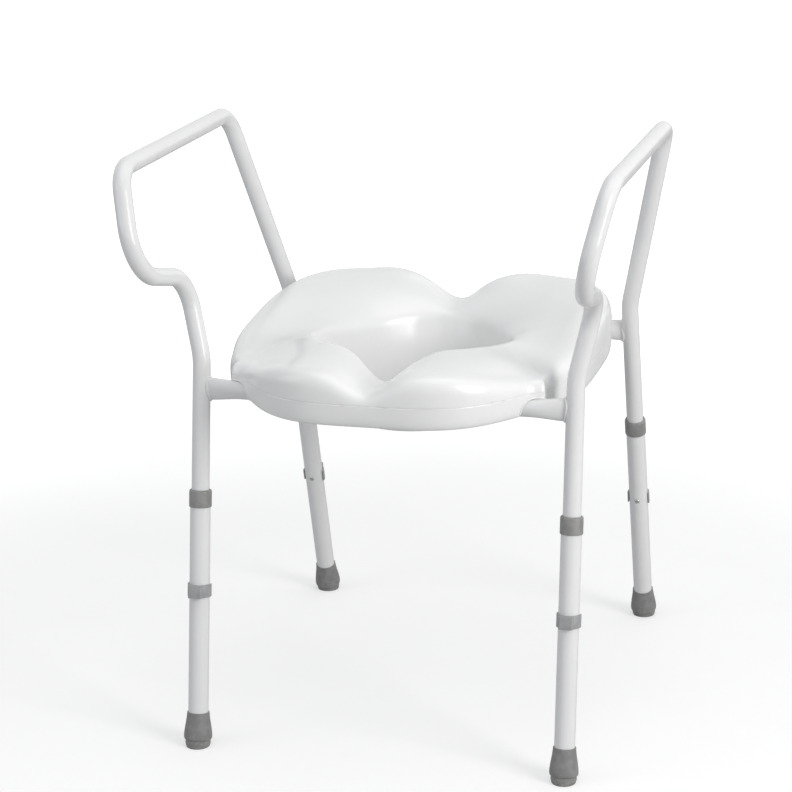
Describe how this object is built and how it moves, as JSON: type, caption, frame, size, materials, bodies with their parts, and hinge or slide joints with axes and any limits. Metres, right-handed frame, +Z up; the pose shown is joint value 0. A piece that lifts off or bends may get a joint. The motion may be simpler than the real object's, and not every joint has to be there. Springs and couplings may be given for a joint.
{
  "type": "raised toilet seat",
  "caption": "Free-standing tubular frame with armrests and telescopic legs, carrying a contoured plastic toilet seat with a splash guard.",
  "frame": {"origin": "on the floor, at the middle of the whole object's box", "axes": "+Z up, +X to the right of someone facing the front of the seat, +Y to the rear, towards the cistern"},
  "size_m": [0.6058, 0.6376, 0.7511],
  "materials": {
    "white_enamel": "gloss",
    "seat_plastic": "gloss",
    "collar_plastic": "satin",
    "clip_plastic": "satin",
    "hidden_plastic": "satin",
    "grey_rubber": "matte",
    "plain_steel": "satin"
  },
  "bodies": {
    "frame": {"side_frame_left": "white_enamel", "side_frame_right": "white_enamel", "crossbar_front": "white_enamel", "crossbar_rear": "white_enamel", "crossbar_welds": "white_enamel", "guide_plug_front_left": "hidden_plastic", "guide_plug_front_right": "hidden_plastic", "guide_plug_rear_left": "hidden_plastic", "guide_plug_rear_right": "hidden_plastic"},
    "seat": {"seat": "seat_plastic", "saddle_clip_front_left": "hidden_plastic", "saddle_clip_front_right": "hidden_plastic", "saddle_clip_rear_left": "hidden_plastic", "saddle_clip_rear_right": "hidden_plastic", "saddle_screws": "plain_steel"},
    "leg_front_left": {"lower_leg_front_left": "white_enamel", "leg_collar_front_left": "collar_plastic", "foot_washer_front_left": "plain_steel", "rubber_foot_front_left": "grey_rubber"},
    "clip_front_left": {"height_clip_front_left": "clip_plastic", "clip_pin_front_left": "plain_steel"},
    "leg_front_right": {"lower_leg_front_right": "white_enamel", "leg_collar_front_right": "collar_plastic", "foot_washer_front_right": "plain_steel", "rubber_foot_front_right": "grey_rubber"},
    "clip_front_right": {"height_clip_front_right": "clip_plastic", "clip_pin_front_right": "plain_steel"},
    "leg_rear_left": {"lower_leg_rear_left": "white_enamel", "leg_collar_rear_left": "collar_plastic", "foot_washer_rear_left": "plain_steel", "rubber_foot_rear_left": "grey_rubber"},
    "clip_rear_left": {"height_clip_rear_left": "clip_plastic", "clip_pin_rear_left": "plain_steel"},
    "leg_rear_right": {"lower_leg_rear_right": "white_enamel", "leg_collar_rear_right": "collar_plastic", "foot_washer_rear_right": "plain_steel", "rubber_foot_rear_right": "grey_rubber"},
    "clip_rear_right": {"height_clip_rear_right": "clip_plastic", "clip_pin_rear_right": "plain_steel"}
  },
  "joints": [
    {"name": "seat_lift", "type": "slide", "parent": "frame", "child": "seat", "axis": [0, 0, 1], "range_m": [0, 0.38]},
    {"name": "leg_height_front_left", "type": "slide", "parent": "frame", "child": "leg_front_left", "axis": [0, -0.1513, -0.9885], "range_m": [0, 0.15]},
    {"name": "clip_pull_front_left", "type": "slide", "parent": "leg_front_left", "child": "clip_front_left", "axis": [0, -0.9885, 0.1513], "range_m": [0, 0.035]},
    {"name": "leg_height_front_right", "type": "slide", "parent": "frame", "child": "leg_front_right", "axis": [0, -0.1513, -0.9885], "range_m": [0, 0.15]},
    {"name": "clip_pull_front_right", "type": "slide", "parent": "leg_front_right", "child": "clip_front_right", "axis": [0, -0.9885, 0.1513], "range_m": [0, 0.035]},
    {"name": "leg_height_rear_left", "type": "slide", "parent": "frame", "child": "leg_rear_left", "axis": [0, 0.2672, -0.9636], "range_m": [0, 0.15]},
    {"name": "clip_pull_rear_left", "type": "slide", "parent": "leg_rear_left", "child": "clip_rear_left", "axis": [0, 0.9636, 0.2672], "range_m": [0, 0.035]},
    {"name": "leg_height_rear_right", "type": "slide", "parent": "frame", "child": "leg_rear_right", "axis": [0, 0.2672, -0.9636], "range_m": [0, 0.15]},
    {"name": "clip_pull_rear_right", "type": "slide", "parent": "leg_rear_right", "child": "clip_rear_right", "axis": [0, 0.9636, 0.2672], "range_m": [0, 0.035]}
  ]
}
